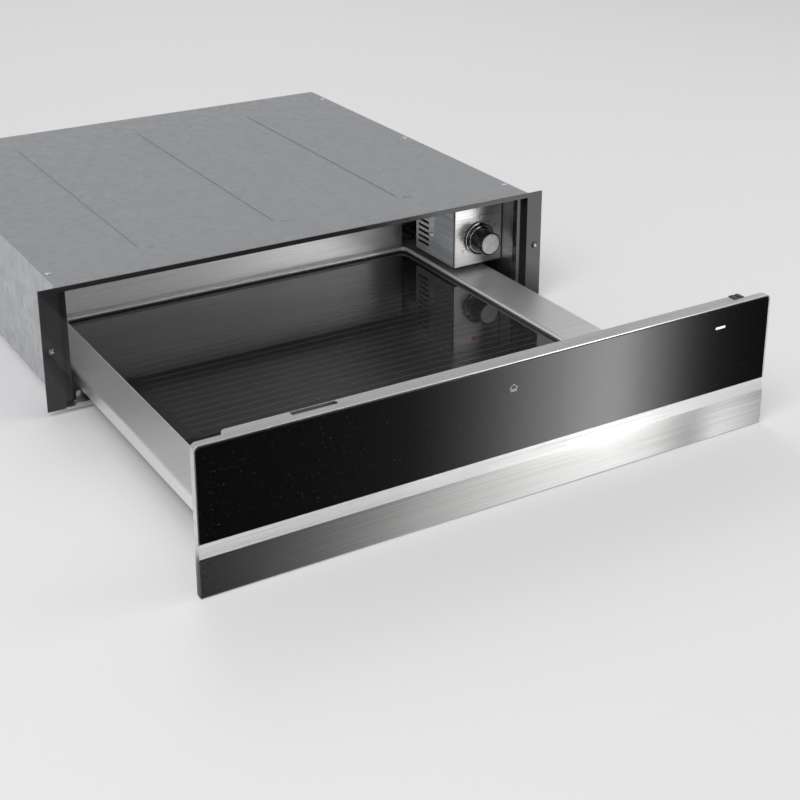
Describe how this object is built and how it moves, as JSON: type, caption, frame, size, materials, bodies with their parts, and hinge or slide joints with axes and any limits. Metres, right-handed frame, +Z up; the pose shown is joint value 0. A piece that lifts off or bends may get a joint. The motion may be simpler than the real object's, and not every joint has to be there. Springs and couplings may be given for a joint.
{
  "type": "built-in warming drawer",
  "caption": "Low built-in warming drawer: sheet-steel housing with side flanges, drawer on ball slides with a heated glass floor, knob on a side control box, black glass front over a steel bar",
  "frame": {"origin": "middle of the housing's underside", "axes": "+Z up, -Y towards the user (the drawer opens that way), +X to the user's right"},
  "size_m": [0.594, 0.8999, 0.137],
  "materials": {
    "galvanised": "galvanised sheet",
    "ceiling_steel": "plain sheet, semi-gloss",
    "zinc": "zinc plated",
    "mineral_wool": "matt",
    "anthracite": "gloss",
    "black_rubber": "matt",
    "white_plastic": "matt",
    "black_plastic": "satin",
    "dark_plastic": "satin",
    "brushed_steel": "brushed",
    "plate_metal": "satin, bare",
    "red_lens": "gloss",
    "heater_wire": "tinted by heat",
    "motor_steel": "satin",
    "plate_glass": "gloss, printed with fine lines",
    "foil": "matt",
    "rim_metal": "satin",
    "black_glass": "gloss",
    "bar_steel": "brushed, bright",
    "grey_sheet": "satin",
    "white_lens": "gloss",
    "board_green": "gloss",
    "chrome": "bright",
    "knob_black": "gloss",
    "inlay_metal": "satin",
    "slide_steel": "zinc plated",
    "cage_steel": "plain"
  },
  "bodies": {
    "housing": {"housing_base": "galvanised", "housing_top": "galvanised", "top_screws": "zinc", "housing_back": "galvanised", "inner_ceiling": "ceiling_steel", "top_insulation": "mineral_wool", "front_frame": "anthracite", "cabinet_screws": "zinc", "lead_gland": "black_rubber", "terminal_block": "white_plastic", "wiring_harness": "black_plastic", "control_box": "brushed_steel", "control_box_screw": "zinc", "rating_plate": "plate_metal", "regulator": "dark_plastic", "indicator_lamp": "red_lens", "air_heater": "heater_wire", "blower_casing": "galvanised", "fan_motor": "motor_steel", "thermal_cutout": "dark_plastic", "slide_bracket_left": "slide_steel", "slide_bracket_right": "slide_steel", "slide_outer_left": "slide_steel", "slide_outer_right": "slide_steel", "latch_body": "black_plastic", "rear_buffers": "black_rubber"},
    "drawer": {"slide_inner_left": "slide_steel", "slide_inner_right": "slide_steel", "slide_carriers": "zinc", "drawer_tray": "brushed_steel", "heating_plate": "plate_glass", "plate_seal": "black_rubber", "heater_foil": "foil", "insulation_mat": "mineral_wool", "plate_sensor": "dark_plastic", "heater_junction": "white_plastic", "bottom_pan": "galvanised", "rear_wall": "brushed_steel", "front_carrier": "rim_metal", "front_glass": "black_glass", "front_bar": "bar_steel", "inner_front": "grey_sheet", "led_lens": "white_lens", "led_board": "board_green", "cable_guide": "black_plastic", "front_screws": "zinc", "latch_strike": "zinc"},
    "middle_left": {"slide_middle_left": "slide_steel"},
    "middle_right": {"slide_middle_right": "slide_steel"},
    "outer_cage_left": {"ball_cage_outer_left": "cage_steel"},
    "outer_cage_right": {"ball_cage_outer_right": "cage_steel"},
    "inner_cage_left": {"ball_cage_inner_left": "cage_steel"},
    "inner_cage_right": {"ball_cage_inner_right": "cage_steel"},
    "latch_plunger": {"latch_plunger": "black_plastic"},
    "knob": {"knob_spindle": "zinc", "knob_skirt": "chrome", "knob_grip": "knob_black", "knob_inlay": "inlay_metal"},
    "fan": {"fan_shaft": "zinc", "fan_wheel": "motor_steel"}
  },
  "joints": [
    {"name": "drawer_slide", "type": "slide", "parent": "housing", "child": "drawer", "axis": [0, -1, 0], "range_m": [-0.35, 0.084]},
    {"name": "middle_slide_left", "type": "slide", "parent": "housing", "child": "middle_left", "axis": [0, -1, 0], "range_m": [-0.1752, 0.0422]},
    {"name": "outer_cage_slide_left", "type": "slide", "parent": "housing", "child": "outer_cage_left", "axis": [0, -1, 0], "range_m": [-0.0877, 0.0212]},
    {"name": "inner_cage_slide_left", "type": "slide", "parent": "housing", "child": "inner_cage_left", "axis": [0, -1, 0], "range_m": [-0.2627, 0.0632]},
    {"name": "middle_slide_right", "type": "slide", "parent": "housing", "child": "middle_right", "axis": [0, -1, 0], "range_m": [-0.1752, 0.0422]},
    {"name": "outer_cage_slide_right", "type": "slide", "parent": "housing", "child": "outer_cage_right", "axis": [0, -1, 0], "range_m": [-0.0877, 0.0212]},
    {"name": "inner_cage_slide_right", "type": "slide", "parent": "housing", "child": "inner_cage_right", "axis": [0, -1, 0], "range_m": [-0.2627, 0.0632]},
    {"name": "latch_push", "type": "slide", "parent": "housing", "child": "latch_plunger", "axis": [0, -1, 0], "range_m": [-0.02836, 0.00696]},
    {"name": "knob_turn", "type": "hinge", "parent": "housing", "child": "knob", "pos_m": [0.245, -0.22395, 0.065], "axis": [0, 1, 0], "range_deg": [0, 240]},
    {"name": "fan_spin", "type": "hinge", "parent": "housing", "child": "fan", "pos_m": [0.2285, -0.06425, 0.0764], "axis": [1, 0, 0], "continuous": true}
  ],
  "couplings": [
    {"joint": "middle_slide_left", "follows": "drawer_slide", "ratio": 0.5},
    {"joint": "outer_cage_slide_left", "follows": "drawer_slide", "ratio": 0.25},
    {"joint": "inner_cage_slide_left", "follows": "drawer_slide", "ratio": 0.75},
    {"joint": "middle_slide_right", "follows": "drawer_slide", "ratio": 0.5},
    {"joint": "outer_cage_slide_right", "follows": "drawer_slide", "ratio": 0.25},
    {"joint": "inner_cage_slide_right", "follows": "drawer_slide", "ratio": 0.75},
    {"joint": "latch_push", "follows": "drawer_slide", "ratio": 0.08046}
  ]
}
